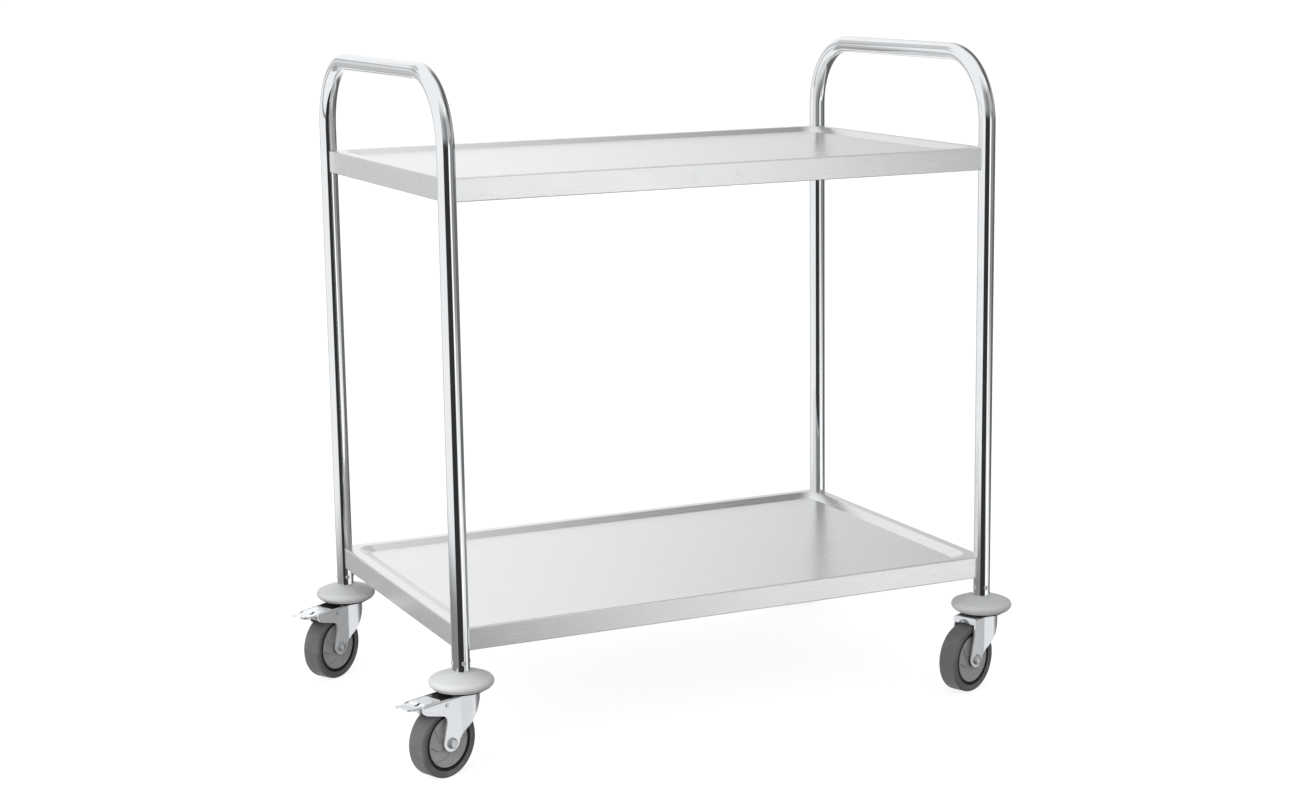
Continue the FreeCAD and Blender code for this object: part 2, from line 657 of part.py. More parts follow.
def pedal_pin():
    """Headed pin through both fork legs that the pedal turns on."""
    x, z = PEDAL_PIVOT
    reach = FORK_HALF_WIDTH + 1.2
    outline = [(0, -reach), (PEDAL_PIN_HEAD - 0.6, -reach), (PEDAL_PIN_HEAD, -reach + 0.7),
               (PEDAL_PIN_HEAD, -FORK_HALF_WIDTH), (PEDAL_PIN_RADIUS, -FORK_HALF_WIDTH)]
    outline += [(r, -y) for r, y in reversed(outline)]
    pin = turned(outline, ALONG_Y)
    pin.translate(vec(x, 0, z))
    return pin


# ---- assembly -----------------------------------------------------------------------
def caster_parts(braked):
    """All pieces of one caster, stem at the origin and wheel trailing along +X."""
    parts = {
        "bumper": bumper(),
        "caster_stem": caster_stem(),
        "race_cup": race_cup(),
        "swivel_balls": swivel_balls(),
        "fork": fork(braked),
        "axle_bolt": axle_bolt(),
        "axle_nut": axle_nut(),
        "axle_sleeve": axle_sleeve(),
        "wheel_body": wheel_body(),
        "tyre": tyre(),
        "dust_covers": dust_covers(),
    }
    if braked:
        parts["brake_pedal"] = brake_pedal()
        parts["brake_shoe"] = brake_shoe()
        parts["pedal_pin"] = pedal_pin()
    return parts


def trolley():
    nodes = {
        "left_end_frame": end_frame(-FRAME_LENGTH / 2),
        "right_end_frame": end_frame(FRAME_LENGTH / 2),
        "shelf_bolts": shelf_bolts(),
        "shelf_inserts": shelf_inserts(),
        "leg_plugs": leg_plugs(),
        "leg_rivets": leg_rivets(),
    }
    for level, top in SHELF_TOPS.items():
        nodes[level + "_shelf"] = shelf(top)
        nodes[level + "_shelf_ribs"] = shelf_ribs(top)
    for corner, (side_x, side_y, heading, braked) in CASTERS.items():
        foot = vec(side_x * FRAME_LENGTH / 2, side_y * FRAME_DEPTH / 2, LEG_BOTTOM)
        for name, solid in caster_parts(braked).items():
            solid.rotate(vec(0, 0, 0), UP, heading)
            solid.translate(foot)
            nodes[corner + "_" + name] = solid
    return nodes


def outline_middle(nodes):
    """Middle of the trolley's outline seen from above, to the nearest tenth."""
    box = FreeCAD.BoundBox()
    for solid in nodes.values():
        box.add(solid.optimalBoundingBox(False))
    return vec(round(box.Center.x, 1), round(box.Center.y, 1), 0)


def main():
    os.makedirs("parts", exist_ok=True)
    nodes = trolley()
    middle = outline_middle(nodes)
    print("leg centre lies at", -middle.x, -middle.y, "from the origin")
    for name, solid in nodes.items():
        solid.translate(-middle)
        solid.exportStep("parts/" + name + ".step")


main()
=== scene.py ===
import json
from math import asin, cos, degrees, pi, radians, sin, sqrt, tan

import bmesh
import bpy
from bpy.props import FloatProperty, FloatVectorProperty, IntProperty, PointerProperty
from mathutils import Matrix, Vector


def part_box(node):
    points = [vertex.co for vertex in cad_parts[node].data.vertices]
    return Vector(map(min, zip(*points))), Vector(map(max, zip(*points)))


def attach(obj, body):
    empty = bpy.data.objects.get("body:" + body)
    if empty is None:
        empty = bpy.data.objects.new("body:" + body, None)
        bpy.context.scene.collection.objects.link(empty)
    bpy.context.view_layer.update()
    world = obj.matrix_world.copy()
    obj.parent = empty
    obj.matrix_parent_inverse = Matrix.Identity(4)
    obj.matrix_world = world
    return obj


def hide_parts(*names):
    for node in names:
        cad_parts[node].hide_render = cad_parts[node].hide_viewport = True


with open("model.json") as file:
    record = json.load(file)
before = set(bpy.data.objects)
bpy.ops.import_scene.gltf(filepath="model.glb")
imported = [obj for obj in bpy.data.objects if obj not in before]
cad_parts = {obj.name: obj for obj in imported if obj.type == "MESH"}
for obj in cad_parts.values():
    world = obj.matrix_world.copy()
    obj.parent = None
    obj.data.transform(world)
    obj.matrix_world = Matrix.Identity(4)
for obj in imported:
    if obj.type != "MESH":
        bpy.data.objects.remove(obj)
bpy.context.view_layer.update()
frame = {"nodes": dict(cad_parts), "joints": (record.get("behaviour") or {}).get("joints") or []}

bl_info = {
    "name": "Serving Trolley",
    "version": (1, 0, 0),
    "blender": (4, 5, 0),
    "location": "View3D > Sidebar > Trolley",
    "description": "Stainless two-shelf serving trolley on four swivel casters",
    "category": "Add Mesh",
}

JOINTS = {joint["name"]: joint for joint in frame["joints"]}
CORNERS = ("front_left", "front_right", "back_left", "back_right")
BRAKED = ("front_left", "back_left")
UP = Vector((0, 0, 1))
MM = 0.001
SOFT_EDGE = radians(33)     # edges that turn further than this are shaded sharp


# ---- properties ---------------------------------------------------------------------
def length(name, description, default):
    """A size in metres that a user can change."""
    return FloatProperty(name=name, description=description, default=default, min=0.0,
                         unit="LENGTH", subtype="DISTANCE", precision=4)


def share(name, description, default):
    return FloatProperty(name=name, description=description, default=default, min=0.0, max=1.0,
                         subtype="FACTOR")


def angle(name, description, default):
    return FloatProperty(name=name, description=description, default=radians(default),
                         unit="ROTATION", subtype="ANGLE")


def colour(name, description, default):
    return FloatVectorProperty(name=name, description=description, default=default, size=3,
                               min=0.0, max=1.0, subtype="COLOR")


class TrolleyShape(bpy.types.PropertyGroup):
    """Sizes of the pieces that are made here around the fixed frame."""
    tube_radius: length("Tube radius", "Outer radius of the end frame tubes", 12.5 * MM)
    tube_wall: length("Tube wall", "Thickness of the tube", 1.2 * MM)
    bend_radius: length("Bend radius", "Centre line radius of the handle bends", 101 * MM)
    tube_sides: IntProperty(name="Tube sides", description="Faces around a tube", default=64, min=8)
    bend_steps: IntProperty(name="Bend steps", description="Faces along a handle bend", default=28, min=4)
    sheet: length("Shelf sheet", "Thickness of the shelf sheet", 1.2 * MM)
    fold_radius: length("Fold radius", "Outer radius of the rolled shelf edge", 2 * MM)
    hem_radius: length("Hem radius", "Outer radius of the fold to the lower lip", 1.5 * MM)
    return_lip: length("Return lip", "Width of the lip folded in below the shelf edge", 12 * MM)
    rim_width: length("Rim width", "Flat rim around the sunk shelf floor", 15 * MM)
    slope_width: length("Slope width", "Width of the slope from rim to floor", 18.5 * MM)
    floor_depth: length("Floor depth", "Floor below the rim", 6.6 * MM)
    rim_corner: length("Rim corner", "Corner radius at the top of the slope", 30 * MM)
    floor_corner: length("Floor corner", "Corner radius at the foot of the slope", 14 * MM)
    press_radius: length("Press radius", "Bend radius at both edges of the slope", 4 * MM)
    rivet_height: length("Rivet height", "Leg rivets above the leg's end", 13 * MM)
    rivet_radius: length("Rivet radius", "Radius of a leg rivet's head", 3.3 * MM)
    petals: IntProperty(name="Cover petals", description="Curved steps on a dust cover", default=8, min=3)
    petal_step: length("Petal step", "Height of the step at a petal's edge", 1.3 * MM)
    petal_turn: angle("Petal turn", "How far a petal's edge turns from hub to rim", 52)


class TrolleyFinish(bpy.types.PropertyGroup):
    """Colours and roughness of the materials."""
    polished: colour("Polished steel", "Colour of the tubes", (0.84, 0.845, 0.85))
    polished_roughness: share("Polished roughness", "Roughness of the tubes", 0.055)
    brushed: colour("Brushed steel", "Colour of the shelves", (0.80, 0.80, 0.795))
    brushed_roughness: share("Brushed roughness", "Roughness of the shelves", 0.20)
    zinc: colour("Zinc plating", "Colour of forks, pedals and fasteners", (0.93, 0.94, 0.95))
    zinc_roughness: share("Zinc roughness", "Roughness of the zinc plating", 0.27)
    bumper: colour("Bumper", "Colour of the soft buffers", (0.565, 0.575, 0.58))
    tyre: colour("Tyre", "Colour of the grey rubber", (0.109, 0.109, 0.112))
    cover: colour("Wheel cover", "Colour of the wheels' dust covers", (0.345, 0.345, 0.335))
    # Black also paints shade: the race cups and the black leaves by the brake pedals.
    black: colour("Black parts", "Colour of the black plastic and steel", (0.014, 0.014, 0.015))


class TrolleyStudio(bpy.types.PropertyGroup):
    """Camera, floor and light."""
    camera_place: FloatVectorProperty(name="Camera place", description="Where the camera stands",
                                      default=(-1.47027, -3.24030, 1.11613), unit="LENGTH",
                                      subtype="TRANSLATION", precision=4)
    camera_turn: angle("Camera turn", "Camera's heading, clockwise from +Y", 24.734)
    camera_drop: angle("Camera drop", "Camera's angle below the horizon", 10.829)
    camera_roll: angle("Camera roll", "Camera's roll", 0.819)
    lens: FloatProperty(name="Lens", description="Focal length", default=66.742, min=1.0,
                        unit="CAMERA")
    surround_radius: length("Surround radius", "Radius of the reflected studio", 12.0)
    surround_level: FloatProperty(name="Surround level", description="Brightness of the bright walls",
                                  default=1.06, min=0.0)
    ambient: FloatProperty(name="Ambient", description="Strength of the even light", default=0.88, min=0.0)
    key_power: FloatProperty(name="Key light", description="Power of the soft light on the left",
                             default=11.0, min=0.0, unit="POWER")


# ---- node trees ---------------------------------------------------------------------
class Value:
    """An output socket; arithmetic on it adds Math nodes to its tree."""

    def __init__(self, nodes, socket):
        self.nodes = nodes
        self.socket = socket

    def math(self, operation, *others):
        inputs = dict(enumerate((self,) + others))
        return self.nodes.make("ShaderNodeMath", {"operation": operation}, inputs)

    def flipped(self, operation, other):
        inputs = {0: other, 1: self}
        return self.nodes.make("ShaderNodeMath", {"operation": operation}, inputs)

    def __add__(self, other):
        return self.math("ADD", other)

    def __radd__(self, other):
        return self.flipped("ADD", other)

    def __sub__(self, other):
        return self.math("SUBTRACT", other)

    def __rsub__(self, other):
        return self.flipped("SUBTRACT", other)

    def __mul__(self, other):
        return self.math("MULTIPLY", other)

    def __rmul__(self, other):
        return self.flipped("MULTIPLY", other)

    def rise(self, low, high):
        """Smooth step from 0 at low to 1 at high."""
        settings = {"interpolation_type": "SMOOTHSTEP"}
        return self.nodes.make("ShaderNodeMapRange", settings, {0: self, 1: low, 2: high})

    def band(self, low, high, soft):
        """1 between low and high, and 0 outside, with soft ends."""
        return self.rise(low - soft, low + soft) - self.rise(high - soft, high + soft)


class Nodes:
    """Adds nodes to one tree."""

    def __init__(self, tree):
        self.tree = tree
        tree.nodes.clear()

    def make(self, kind, settings=(), inputs=(), output=0):
        """Adds a node, its settings first and then its sockets, and returns one output."""
        node = self.tree.nodes.new(kind)
        for name, value in dict(settings).items():
            setattr(node, name, value)
        for name, value in dict(inputs).items():
            if isinstance(value, Value):
                self.tree.links.new(value.socket, node.inputs[name])
            else:
                node.inputs[name].default_value = value
        return Value(self, node.outputs[output]) if node.outputs else node


SHADER_SOCKETS = {
    "metallic": "Metallic",
    "specular": "Specular IOR Level",
    "glow": "Emission Color",
    "glow_strength": "Emission Strength",
}


class Finish(Nodes):
    """A new material with one Principled shader."""

    def __init__(self, name):
        self.material = bpy.data.materials.new(name)
        self.material.use_nodes = True
        super().__init__(self.material.node_tree)

    def place(self, stretch=(1, 1, 1), uv_map=None):
        """Object coordinates, or a UV map's, stretched along the axes."""
        if uv_map:
            source = self.make("ShaderNodeUVMap", {"uv_map": uv_map})
        else:
            source = self.make("ShaderNodeTexCoord", output=3)
        return self.make("ShaderNodeMapping", inputs={"Vector": source, "Scale": stretch})

    def noise(self, place, scale, detail=3.0, roughness=0.55):
        inputs = {"Vector": place, "Scale": scale, "Detail": detail, "Roughness": roughness}
        return self.make("ShaderNodeTexNoise", inputs=inputs)

    def scratches(self, place, scale, width):
        """Thin lines along the borders of stretched cells."""
        inputs = {"Vector": place, "Scale": scale, "Randomness": 1.0}
        cells = self.make("ShaderNodeTexVoronoi", {"feature": "DISTANCE_TO_EDGE"}, inputs)
        return 1 - cells.rise(0.0, width)

    def tint(self, low, high, factor):
        """Colour between two colours."""
        settings = {"data_type": "RGBA"}
        inputs = {0: factor, 6: (*low, 1.0), 7: (*high, 1.0)}
        return self.make("ShaderNodeMix", settings, inputs, output=2)

    def bump(self, height, distance, below=None):
        """Small relief of a given height in metres, on top of another one."""
        inputs = {"Height": height, "Distance": distance, "Strength": 1.0}
        if below:
            inputs["Normal"] = below
        return self.make("ShaderNodeBump", inputs=inputs)

    def shade(self, base, roughness, normal=None, **fixed):
        """Closes the material; fixed sets the shader's even values."""
        inputs = {"Base Color": base, "Roughness": roughness}
        if normal:
            inputs["Normal"] = normal
        for name, value in fixed.items():
            inputs[SHADER_SOCKETS[name]] = value
        shader = self.make("ShaderNodeBsdfPrincipled", inputs=inputs)
        self.make("ShaderNodeOutputMaterial", inputs={"Surface": shader})
        return self.material


def scaled(tone, factor):
    return tuple(channel * factor for channel in tone)


# ---- materials ----------------------------------------------------------------------
def polished_steel(finish):
    """Mirror polished tube, with faint buffing lines and finger haze."""
    look = Finish("polished_steel")
    haze = look.noise(look.place(), 14.0, 4.0)
    buffing = look.noise(look.place((1.0, 1.0, 0.04)), 900.0, 2.0)
    hazed = haze.rise(0.45, 0.75)
    roughness = finish.polished_roughness + 0.035 * hazed + 0.02 * buffing
    base = look.tint(scaled(finish.polished, 0.96), finish.polished, hazed)
    normal = look.bump(buffing, 0.0000003)
    return look.shade(base, roughness, normal, metallic=1.0)


def brushed_steel(finish):
    """Fine brushed sheet: the grain runs along the sheet and down its folded ends."""
    look = Finish("brushed_steel")
    fine = look.noise(look.place((0.012, 1.0, 1.0), "grain"), 2600.0, 2.0)
    broad = look.noise(look.place((0.03, 1.0, 1.0), "grain"), 900.0, 3.0)
    cloud = look.noise(look.place((1.0, 2.2, 1.0), "grain"), 9.0, 3.0)
    wiped = look.scratches(look.place((0.05, 1.0, 1.0), "grain"), 120.0, 0.012)
    streak = 0.5 * fine + 0.5 * broad
    base = look.tint(scaled(finish.brushed, 0.93), scaled(finish.brushed, 1.05), streak.rise(0.3, 0.7))
    roughness = finish.brushed_roughness + 0.07 * broad + 0.05 * cloud + 0.04 * wiped
    grooves = look.bump(fine, 0.000009)
    normal = look.bump(broad, 0.000003, below=grooves)
    return look.shade(base, roughness, normal, metallic=1.0)


def zinc_plate(finish):
    """Bright zinc plating: soft cloudy patches, a faint grain and a slight cool tone."""
    look = Finish("zinc_plate")
    cloud = look.noise(look.place(), 60.0, 4.0)
    speck = look.noise(look.place(), 700.0, 2.0)
    base = look.tint(scaled(finish.zinc, 0.96), finish.zinc, cloud.rise(0.35, 0.65))
    roughness = finish.zinc_roughness + 0.06 * cloud
    normal = look.bump(speck, 0.000008)
    return look.shade(base, roughness, normal, metallic=0.88)


def fastener_steel(finish):
    """Turned and plated fasteners, darker and a little smoother than the pressed sheet."""
    look = Finish("fastener_steel")
    cloud = look.noise(look.place(), 180.0, 3.0)
    base = look.tint(scaled(finish.zinc, 0.56), scaled(finish.zinc, 0.82), cloud)
    return look.shade(base, 0.20 + 0.12 * cloud, look.bump(cloud, 0.00001), metallic=0.8)


def moulded(name, tone, roughness, wear, grain=900.0, **fixed):
    """Moulded plastic or rubber: fine surface grain, soft patches and light scuffs."""
    look = Finish(name)
    patches = look.noise(look.place(), 26.0, 4.0)
    texture = look.noise(look.place(), grain, 2.0)
    scuff = look.noise(look.place((1.0, 1.0, 3.0)), 110.0, 5.0).rise(0.58, 0.74)
    worn = 0.5 * patches + 0.5 * scuff
    base = look.tint(scaled(tone, 1 - wear), scaled(tone, 1 + wear), worn)
    normal = look.bump(texture, 0.00003)
    return look.shade(base, roughness + 0.10 * scuff - 0.05 * patches, normal, **fixed)


def tyre_rubber(finish):
    """Grey rubber tyre: dusty patches, soft mottling and a fine grit."""
    look = Finish("tyre_rubber")
    dust = look.noise(look.place(), 42.0, 5.0).rise(0.42, 0.72)
    mottle = look.noise(look.place(), 12.0, 2.0)
    grit = look.noise(look.place(), 1400.0, 2.0)
    base = look.tint(scaled(finish.tyre, 0.88), scaled(finish.tyre, 1.45), 0.55 * dust + 0.3 * mottle)
    return look.shade(base, 0.44 + 0.2 * dust, look.bump(grit, 0.00005), specular=0.5)


def make_materials(finish):
    """Every material by name."""
    return {
        "polished": polished_steel(finish),
        "brushed": brushed_steel(finish),
        "zinc": zinc_plate(finish),
        "fastener": fastener_steel(finish),
        "bumper": moulded("buffer_rubber", finish.bumper, 0.42, wear=0.04),
        "tyre": tyre_rubber(finish),
        "cover": moulded("cover_plastic", finish.cover, 0.46, wear=0.07),
        "black": moulded("black_plastic", finish.black, 0.5, wear=0.2, specular=0.2),
        # Black steel of the race cups, whose black also stands for the shade under the bumpers.
        "black_steel": moulded("black_steel", finish.black, 0.5, grain=500.0, wear=0.3, specular=0.2),
    }


MATERIALS = {}

# Finish of the nodes whose shape is kept, by the end of their names.
NODE_FINISH = {
    "_shelf_ribs": "zinc",
    "shelf_bolts": "fastener",
    "shelf_inserts": "fastener",
    "leg_plugs": "black",
    "_bumper": "bumper",
    "_caster_stem": "fastener",
    # Race cups are black steel; their black also paints the shade under the bumpers.
    "_race_cup": "black_steel",
    "_swivel_balls": "fastener",
    "_fork": "zinc",
    "_axle_bolt": "fastener",
    "_axle_nut": "fastener",
    "_axle_sleeve": "fastener",
    "_wheel_body": "black",
    "_tyre": "tyre",
    "_brake_shoe": "black",
    "_pedal_pin": "fastener",
}


def dress(*endings):
    """Gives the kept nodes whose names end this way their material."""
    for node, part in frame["nodes"].items():
        for ending in endings:
            if node.endswith(ending):
                part.data.materials.clear()
                part.data.materials.append(MATERIALS[NODE_FINISH[ending]])


# ---- mesh helpers -------------------------------------------------------------------
def scene_object(name, mesh):
    made = bpy.data.objects.new(name, mesh)
    bpy.context.scene.collection.objects.link(made)
    return made


def settled(source):
    """Plain mesh of an object with its modifiers; the object is then removed."""
    graph = bpy.context.evaluated_depsgraph_get()
    mesh = bpy.data.meshes.new_from_object(
        source.evaluated_get(graph), preserve_all_data_layers=True, depsgraph=graph)
    bpy.data.objects.remove(source)
    return mesh


def piece(name, mesh, body, finish, replaces=None):
    """A finished piece that rides on a body and may stand for a node of the frame."""
    mesh.materials.clear()
    mesh.materials.append(MATERIALS[finish])
    for polygon in mesh.polygons:
        polygon.material_index = 0
    made = scene_object(name, mesh)
    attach(made, body)
    if replaces:
        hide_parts(replaces)
    return made


def plain_mesh(name, built):
    """Mesh data from a finished bmesh, which is then freed."""
    made = bpy.data.meshes.new(name)
    built.to_mesh(made)
    built.free()
    return made


def thicken(source, name, thickness):
    """Gives a skin its thickness, inwards from its outer side."""
    wall = source.modifiers.new(name, "SOLIDIFY")
    wall.thickness = thickness
    wall.offset = -1


def soften(mesh):
    """Smooth shading, kept sharp where faces meet at a real edge."""
    mesh.shade_smooth()
    mesh.set_sharp_from_angle(angle=SOFT_EDGE)


def weighted(source):
    """Lets wide flat faces keep flat shading beside narrow bends."""
    modifier = source.modifiers.new("flat_faces", "WEIGHTED_NORMAL")
    modifier.keep_sharp = True
    modifier.weight = 100


def ring_mesh(name, rings, closed_rings=False, cap=False):
    """Mesh through rings of equally many points; optionally closed from last ring to first."""
    mesh = bmesh.new()
    loops = [[mesh.verts.new(point) for point in ring] for ring in rings]
    pairs = list(zip(loops, loops[1:]))
    if closed_rings:
        pairs.append((loops[-1], loops[0]))
    for lower, upper in pairs:
        for here in range(len(lower)):
            there = (here + 1) % len(lower)
            mesh.faces.new((lower[here], lower[there], upper[there], upper[here]))
    if cap:
        mesh.faces.new(loops[-1])
    mesh.normal_update()
    return plain_mesh(name, mesh)


def turned_rings(profile, turns, twist=None, lift=None):
    """Rings of a turned shape about Z from (radius, height) points, at the given part turns.

    twist turns each ring by its radius, and lift raises a point by its ring and step."""
    rings = []
    for number, (radius, height) in enumerate(profile):
        ring = []
        for step, turn in enumerate(turns):
            around = 2 * pi * turn + (twist(radius) if twist else 0)
            raised = height + (lift(number, step) if lift else 0)
            ring.append(Vector((radius * cos(around), radius * sin(around), raised)))
        rings.append(ring)
    return rings


def along_axis(origin, axis):
    """Matrix that takes local Z to an axis through a point."""
    turn = Vector(axis).to_track_quat("Z", "Y").to_matrix().to_4x4()
    return Matrix.Translation(Vector(origin)) @ turn


# ---- end frames ---------------------------------------------------------------------
def tree_input(tree, name, kind, default=None):
    socket = tree.interface.new_socket(name=name, in_out="INPUT", socket_type=kind)
    if default is not None:
        socket.default_value = default
    return socket


def bent_tube_tree():
    """Tube along a path: corners rounded, round section swept, faces smooth."""
    tree = bpy.data.node_groups.new("bent_tube", "GeometryNodeTree")
    tree_input(tree, "Path", "NodeSocketGeometry")
    tree_input(tree, "Tube Radius", "NodeSocketFloat", 0.01)
    tree_input(tree, "Bend Radius", "NodeSocketFloat", 0.1)
    tree_input(tree, "Sides", "NodeSocketInt", 32)
    tree_input(tree, "Bend Steps", "NodeSocketInt", 16)
    tree_input(tree, "Material", "NodeSocketMaterial")
    tree.interface.new_socket(name="Tube", in_out="OUTPUT", socket_type="NodeSocketGeometry")
    nodes = Nodes(tree)
    start = nodes.make("NodeGroupInput").socket.node.outputs
    given = {socket.name: Value(nodes, socket) for socket in start if socket.name}
    line = nodes.make("GeometryNodeMeshToCurve", inputs={0: given["Path"]})
    rounded = nodes.make("GeometryNodeFilletCurve", {"mode": "POLY"}, {
        "Curve": line, "Count": given["Bend Steps"], "Radius": given["Bend Radius"],
        "Limit Radius": True})
    section = nodes.make("GeometryNodeCurvePrimitiveCircle", inputs={
        "Resolution": given["Sides"], "Radius": given["Tube Radius"]})
    swept = nodes.make("GeometryNodeCurveToMesh", inputs={"Curve": rounded, "Profile Curve": section})
    smooth = nodes.make("GeometryNodeSetShadeSmooth", inputs={0: swept})
    real = nodes.make("GeometryNodeRealizeInstances", inputs={0: smooth})
    painted = nodes.make("GeometryNodeSetMaterial", inputs={
        "Geometry": real, "Material": given["Material"]})
    nodes.make("NodeGroupOutput", inputs={0: painted})
    return tree


def set_inputs(modifier, values):
    """Sets a Geometry Nodes modifier's named inputs."""
    names = {item.name: item.identifier for item in modifier.node_group.interface.items_tree
             if item.in_out == "INPUT"}
    for name, value in values.items():
        modifier[names[name]] = value


class TROLLEY_OT_end_frames(bpy.types.Operator):
    """Bends the two end frames, each one tube from leg to handle to leg"""
    bl_idname = "trolley.end_frames"
    bl_label = "End Frames"

    def execute(self, context):
        shape = context.scene.trolley_shape
        tree = bent_tube_tree()
        for side in ("left", "right"):
            node = side + "_end_frame"
            low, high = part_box(node)
            x = (low.x + high.x) / 2
            front = low.y + shape.tube_radius
            back = high.y - shape.tube_radius
            top = high.z - shape.tube_radius
            path = bpy.data.meshes.new(node + "_path")
            corners = [(x, front, low.z), (x, front, top), (x, back, top), (x, back, low.z)]
            path.from_pydata(corners, [(0, 1), (1, 2), (2, 3)], [])
            source = scene_object(node + "_path", path)
            sweep = source.modifiers.new("tube", "NODES")
            sweep.node_group = tree
            set_inputs(sweep, {
                "Tube Radius": shape.tube_radius, "Bend Radius": shape.bend_radius,
                "Sides": shape.tube_sides, "Bend Steps": shape.bend_steps,
                "Material": MATERIALS["polished"]})
            thicken(source, "wall", shape.tube_wall)
            mesh = settled(source)
            soften(mesh)
            piece(side + "_end_tube", mesh, "trolley", "polished", node)
        return {"FINISHED"}


# ---- shelves ------------------------------------------------------------------------
CORNER_STEPS = 14           # faces along a corner arc
FOLD_STEPS = 5              # faces along a rolled edge


def rectangle_corners(centre_x, centre_y, half_x, half_y):
    """The four corner points of a level rectangle, counter-clockwise from front right."""
    signs = ((1, -1), (1, 1), (-1, 1), (-1, -1))
    return [Vector((centre_x + sx * half_x, centre_y + sy * half_y, 0)) for sx, sy in signs]


def corner_ring(centres, radius, first, last, height):
    """Ring with one arc at each corner; first and last are the front right arc's angles."""
    ring = []
    for quarter, centre in enumerate(centres):
        for step in range(CORNER_STEPS + 1):
            around = first + (last - first) * step / CORNER_STEPS + quarter * pi / 2
            ring.append(Vector((centre.x + radius * cos(around), centre.y + radius * sin(around), height)))
    return ring


def grain_map(mesh):
    """UV map in metres: U along the brushed grain, V across it, following the folds."""
    layer = mesh.uv_layers.new(name="grain")
    for polygon in mesh.polygons:
        facing = [abs(part) for part in polygon.normal]
        for loop in polygon.loop_indices:
            x, y, z = mesh.vertices[mesh.loops[loop].vertex_index].co
            if facing[2] > 0.5:
                layer.data[loop].uv = (x, y)
            elif facing[1] > facing[0]:
                layer.data[loop].uv = (x, z)
            else:
                layer.data[loop].uv = (z, y)


def bend_sections(press_radius, slope):
    """Half length of a small bend between a flat and a slope, and the drop at its middle."""
    half = press_radius * tan(slope / 2)
    return half, press_radius * (1 - cos(slope / 2))


def shelf_rings(shape, low, high):
    """Rings of the pressed shelf's outer skin, from the lower lip's edge to the floor."""
    centre_x, centre_y = (low.x + high.x) / 2, (low.y + high.y) / 2
    half_x, half_y = (high.x - low.x) / 2, (high.y - low.y) / 2
    leg = Vector(JOINTS["front_right_swivel_turn"]["pos_m"])
    overhang = high.x - leg.x
    legs = rectangle_corners(centre_x, centre_y, half_x - overhang, half_y - overhang)

    def notched(inset, radius, height):
        """Rectangle whose corners are cut by arcs around the legs."""
        reach = asin((overhang - inset) / radius)
        return corner_ring(legs, radius, pi + reach, pi / 2 - reach, height)

    def rounded(inset, radius, height):
        away = inset + radius
        centres = rectangle_corners(centre_x, centre_y, half_x - away, half_y - away)
        return corner_ring(centres, radius, -pi / 2, 0, height)

    tube, top, bottom = shape.tube_radius, high.z, low.z
    rings = [notched(shape.return_lip, tube + shape.return_lip, bottom)]
    for step in range(FOLD_STEPS + 1):
        turn = step / FOLD_STEPS * pi / 2
        inset = shape.hem_radius * (1 - sin(turn))
        rings.append(notched(inset, tube, bottom + shape.hem_radius * (1 - cos(turn))))
    for step in range(FOLD_STEPS + 1):
        turn = step / FOLD_STEPS * pi / 2
        inset = shape.fold_radius * (1 - cos(turn))
        rings.append(notched(inset, tube, top - shape.fold_radius * (1 - sin(turn))))

    slope = asin(shape.floor_depth / sqrt(shape.floor_depth ** 2 + shape.slope_width ** 2))
    half_bend, sag = bend_sections(shape.press_radius, slope)
    rim = shape.rim_width
    foot = rim + shape.slope_width
    floor = top - shape.floor_depth
    along, down = half_bend * cos(slope), half_bend * sin(slope)
    bend_sag = sag * 0.5
    rings += [
        rounded(rim - half_bend, shape.rim_corner + half_bend, top),
        rounded(rim, shape.rim_corner, top - bend_sag),
        rounded(rim + along, shape.rim_corner - along, top - down),
        rounded(foot - along, shape.floor_corner + along, floor + down),
        rounded(foot, shape.floor_corner, floor + bend_sag),
        rounded(foot + half_bend, shape.floor_corner - half_bend, floor),
    ]
    return rings


class TROLLEY_OT_shelves(bpy.types.Operator):
    """Presses the two shelves: folded edge, flat rim, slope and sunk floor"""
    bl_idname = "trolley.shelves"
    bl_label = "Shelves"

    def execute(self, context):
        shape = context.scene.trolley_shape
        for level in ("upper", "lower"):
            node = level + "_shelf"
            skin = ring_mesh(node + "_skin", shelf_rings(shape, *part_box(node)), cap=True)
            grain_map(skin)
            soften(skin)
            source = scene_object(node + "_skin", skin)
            thicken(source, "sheet", shape.sheet)
            weighted(source)
            piece(level + "_shelf_sheet", settled(source), "trolley", "brushed", node)
        dress("_shelf_ribs")
        return {"FINISHED"}


